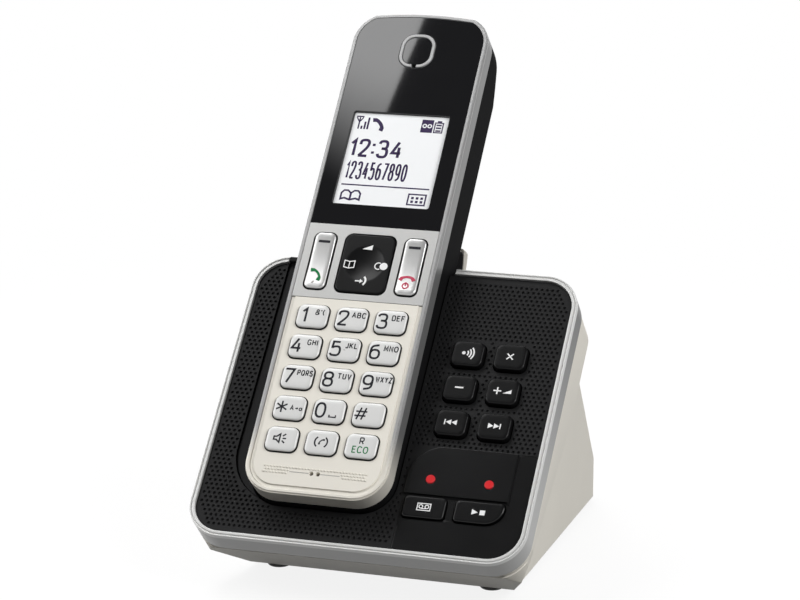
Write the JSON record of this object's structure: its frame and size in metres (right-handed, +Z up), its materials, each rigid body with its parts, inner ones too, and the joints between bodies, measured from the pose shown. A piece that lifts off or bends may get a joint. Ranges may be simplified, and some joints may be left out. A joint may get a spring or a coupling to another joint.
{
  "type": "cordless phone",
  "caption": "Cordless handset with display and keypad, leaning in the cradle of a wedge-shaped answering-machine base with sprung keys and sockets at the rear.",
  "frame": {"origin": "on the table, below the middle of the object's box", "axes": "+Z up, -Y towards the front where the panel slopes down, X across the panel"},
  "size_m": [0.112, 0.1396, 0.1713],
  "materials": {
    "cream": "fine satin",
    "rubber": "matt",
    "steel": "plated",
    "silver": "silver paint",
    "charcoal": "satin",
    "black": "satin",
    "gloss_black": "polished",
    "lamp": "clear red",
    "board": "solder mask",
    "contact": "plated",
    "display": "matt glass",
    "key_grey": "silver paint",
    "cell": "sleeve"
  },
  "bodies": {
    "base": {"rear_housing": "cream", "bottom_cover": "cream", "rubber_feet": "rubber", "base_screws": "steel", "rim_trim": "silver", "front_panel": "charcoal", "cradle_liner": "black", "cradle_contacts": "contact", "control_plate": "gloss_black", "lamp_windows": "lamp", "base_board": "board", "base_key_mat": "rubber", "base_speaker": "black", "line_jack": "black", "dc_jack": "black"},
    "handset": {"side_band": "silver", "keypad_bezel": "cream", "function_plate": "silver", "screen_lens": "gloss_black", "lcd_module": "display", "earpiece_ring": "silver", "receiver": "black", "handset_board": "board", "key_mat": "rubber", "back_case": "black", "ringer": "black", "microphone": "black", "battery_cells": "cell", "battery_springs": "steel", "charge_contacts": "contact", "case_screws": "steel"},
    "battery_cover": {"battery_cover": "black"},
    "nav_rocker": {"nav_rocker": "charcoal"},
    "nav_key": {"nav_key": "gloss_black"},
    "talk_key": {"talk_key": "key_grey"},
    "off_key": {"off_key": "key_grey"},
    "key_1": {"key_1": "key_grey"},
    "key_2": {"key_2": "key_grey"},
    "key_3": {"key_3": "key_grey"},
    "key_4": {"key_4": "key_grey"},
    "key_5": {"key_5": "key_grey"},
    "key_6": {"key_6": "key_grey"},
    "key_7": {"key_7": "key_grey"},
    "key_8": {"key_8": "key_grey"},
    "key_9": {"key_9": "key_grey"},
    "key_star": {"key_star": "key_grey"},
    "key_0": {"key_0": "key_grey"},
    "key_hash": {"key_hash": "key_grey"},
    "key_speaker": {"key_speaker": "key_grey"},
    "key_intercom": {"key_intercom": "key_grey"},
    "key_recall": {"key_recall": "key_grey"},
    "key_locate": {"key_locate": "charcoal"},
    "key_erase": {"key_erase": "charcoal"},
    "key_volume_down": {"key_volume_down": "charcoal"},
    "key_volume_up": {"key_volume_up": "charcoal"},
    "key_skip_back": {"key_skip_back": "charcoal"},
    "key_skip_forward": {"key_skip_forward": "charcoal"},
    "key_answer": {"key_answer": "charcoal"},
    "key_play": {"key_play": "charcoal"}
  },
  "joints": [
    {"name": "handset_lift", "type": "slide", "parent": "base", "child": "handset", "axis": [0, 0.6691, 0.7431], "range_m": [0, 0.13]},
    {"name": "battery_cover_slide", "type": "slide", "parent": "handset", "child": "battery_cover", "axis": [0, -0.6691, -0.7431], "range_m": [0, 0.009]},
    {"name": "nav_up_down", "type": "hinge", "parent": "handset", "child": "nav_rocker", "pos_m": [-0.0136, -0.00764, 0.0957], "axis": [1, 0, 0], "range_deg": [-2, 2], "stiffness_Nm_per_rad": 0.3},
    {"name": "nav_left_right", "type": "hinge", "parent": "nav_rocker", "child": "nav_key", "pos_m": [-0.0136, -0.00779, 0.09584], "axis": [0, 0.6691, 0.7431], "range_deg": [-2, 2], "stiffness_Nm_per_rad": 0.3},
    {"name": "talk_key_tilt", "type": "hinge", "parent": "handset", "child": "talk_key", "pos_m": [-0.0292, -0.00816, 0.09617], "axis": [1, 0, 0], "range_deg": [-2, 2], "stiffness_Nm_per_rad": 0.3},
    {"name": "off_key_tilt", "type": "hinge", "parent": "handset", "child": "off_key", "pos_m": [0.002, -0.00816, 0.09617], "axis": [1, 0, 0], "range_deg": [-2, 2], "stiffness_Nm_per_rad": 0.3},
    {"name": "key_1_press", "type": "slide", "parent": "handset", "child": "key_1", "axis": [0, 0.7431, -0.6691], "range_m": [0, 0.0008], "stiffness_N_per_m": 600},
    {"name": "key_2_press", "type": "slide", "parent": "handset", "child": "key_2", "axis": [0, 0.7431, -0.6691], "range_m": [0, 0.0008], "stiffness_N_per_m": 600},
    {"name": "key_3_press", "type": "slide", "parent": "handset", "child": "key_3", "axis": [0, 0.7431, -0.6691], "range_m": [0, 0.0008], "stiffness_N_per_m": 600},
    {"name": "key_4_press", "type": "slide", "parent": "handset", "child": "key_4", "axis": [0, 0.7431, -0.6691], "range_m": [0, 0.0008], "stiffness_N_per_m": 600},
    {"name": "key_5_press", "type": "slide", "parent": "handset", "child": "key_5", "axis": [0, 0.7431, -0.6691], "range_m": [0, 0.0008], "stiffness_N_per_m": 600},
    {"name": "key_6_press", "type": "slide", "parent": "handset", "child": "key_6", "axis": [0, 0.7431, -0.6691], "range_m": [0, 0.0008], "stiffness_N_per_m": 600},
    {"name": "key_7_press", "type": "slide", "parent": "handset", "child": "key_7", "axis": [0, 0.7431, -0.6691], "range_m": [0, 0.0008], "stiffness_N_per_m": 600},
    {"name": "key_8_press", "type": "slide", "parent": "handset", "child": "key_8", "axis": [0, 0.7431, -0.6691], "range_m": [0, 0.0008], "stiffness_N_per_m": 600},
    {"name": "key_9_press", "type": "slide", "parent": "handset", "child": "key_9", "axis": [0, 0.7431, -0.6691], "range_m": [0, 0.0008], "stiffness_N_per_m": 600},
    {"name": "key_star_press", "type": "slide", "parent": "handset", "child": "key_star", "axis": [0, 0.7431, -0.6691], "range_m": [0, 0.0008], "stiffness_N_per_m": 600},
    {"name": "key_0_press", "type": "slide", "parent": "handset", "child": "key_0", "axis": [0, 0.7431, -0.6691], "range_m": [0, 0.0008], "stiffness_N_per_m": 600},
    {"name": "key_hash_press", "type": "slide", "parent": "handset", "child": "key_hash", "axis": [0, 0.7431, -0.6691], "range_m": [0, 0.0008], "stiffness_N_per_m": 600},
    {"name": "key_speaker_press", "type": "slide", "parent": "handset", "child": "key_speaker", "axis": [0, 0.7431, -0.6691], "range_m": [0, 0.0008], "stiffness_N_per_m": 600},
    {"name": "key_intercom_press", "type": "slide", "parent": "handset", "child": "key_intercom", "axis": [0, 0.7431, -0.6691], "range_m": [0, 0.0008], "stiffness_N_per_m": 600},
    {"name": "key_recall_press", "type": "slide", "parent": "handset", "child": "key_recall", "axis": [0, 0.7431, -0.6691], "range_m": [0, 0.0008], "stiffness_N_per_m": 600},
    {"name": "key_locate_press", "type": "slide", "parent": "base", "child": "key_locate", "axis": [0, 0.7071, -0.7071], "range_m": [0, 0.0012], "stiffness_N_per_m": 600},
    {"name": "key_erase_press", "type": "slide", "parent": "base", "child": "key_erase", "axis": [0, 0.7071, -0.7071], "range_m": [0, 0.0012], "stiffness_N_per_m": 600},
    {"name": "key_volume_down_press", "type": "slide", "parent": "base", "child": "key_volume_down", "axis": [0, 0.7071, -0.7071], "range_m": [0, 0.0012], "stiffness_N_per_m": 600},
    {"name": "key_volume_up_press", "type": "slide", "parent": "base", "child": "key_volume_up", "axis": [0, 0.7071, -0.7071], "range_m": [0, 0.0012], "stiffness_N_per_m": 600},
    {"name": "key_skip_back_press", "type": "slide", "parent": "base", "child": "key_skip_back", "axis": [0, 0.7071, -0.7071], "range_m": [0, 0.0012], "stiffness_N_per_m": 600},
    {"name": "key_skip_forward_press", "type": "slide", "parent": "base", "child": "key_skip_forward", "axis": [0, 0.7071, -0.7071], "range_m": [0, 0.0012], "stiffness_N_per_m": 600},
    {"name": "key_answer_press", "type": "slide", "parent": "base", "child": "key_answer", "axis": [0, 0.7071, -0.7071], "range_m": [0, 0.0012], "stiffness_N_per_m": 600},
    {"name": "key_play_press", "type": "slide", "parent": "base", "child": "key_play", "axis": [0, 0.7071, -0.7071], "range_m": [0, 0.0012], "stiffness_N_per_m": 600}
  ]
}
